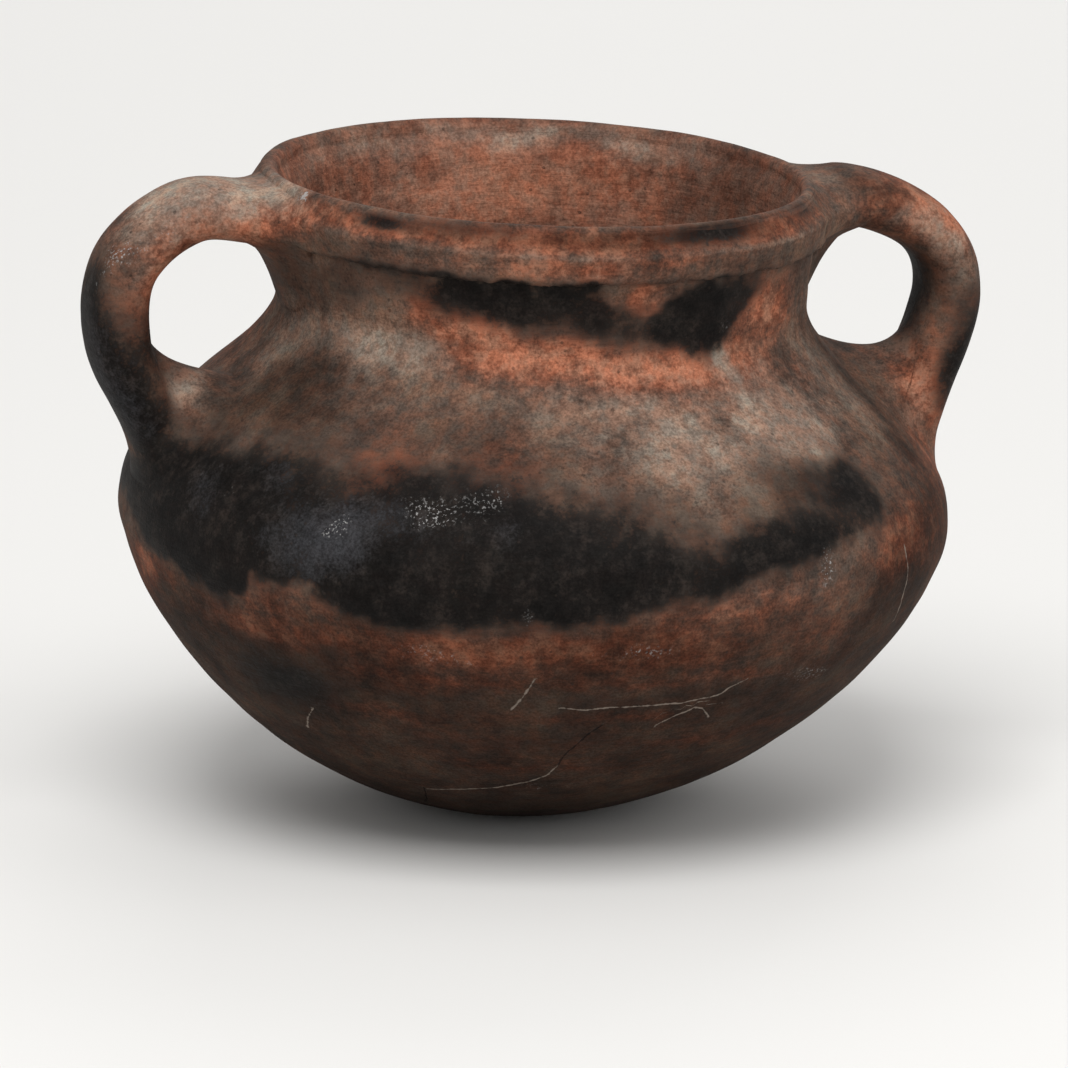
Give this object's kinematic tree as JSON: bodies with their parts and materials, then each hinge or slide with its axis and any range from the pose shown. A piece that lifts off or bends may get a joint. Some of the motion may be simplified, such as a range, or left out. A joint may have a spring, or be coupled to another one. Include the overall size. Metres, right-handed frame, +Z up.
{
  "type": "cooking pot",
  "caption": "Small hand-built earthenware cooking pot: round base, wide belly, low flaring neck with a clay strip round the lip, and upright strap handles from lip to shoulder.",
  "frame": {"origin": "bottom centre of the whole pot's box, in the plane that it stands on", "axes": "+Z up; +X through both handles, towards the handle on the right in the picture; +Y away from the viewer"},
  "size_m": [0.1446, 0.1302, 0.1027],
  "materials": {
    "clay_bowl": "fired, unglazed, smoothed by hand, reddened and sooted by fire",
    "clay_shoulder": "fired, unglazed, smoothed by hand, with thick soot",
    "clay_neck": "fired, unglazed, wiped, with soot in the hollow under the lip",
    "clay_band": "fired, unglazed, rubbed pale along its ridge",
    "clay_handle": "fired, unglazed, smoothed with wet fingers, patchy with soot",
    "clay_wad": "fired, unglazed, smeared by a finger"
  },
  "bodies": {
    "root": {"base_bowl": "clay_bowl", "shoulder_wall": "clay_shoulder", "neck_collar": "clay_neck", "rim_band": "clay_band", "handle_left": "clay_handle", "handle_left_root_wad": "clay_wad", "handle_right": "clay_handle", "handle_right_root_wad": "clay_wad"}
  },
  "joints": []
}
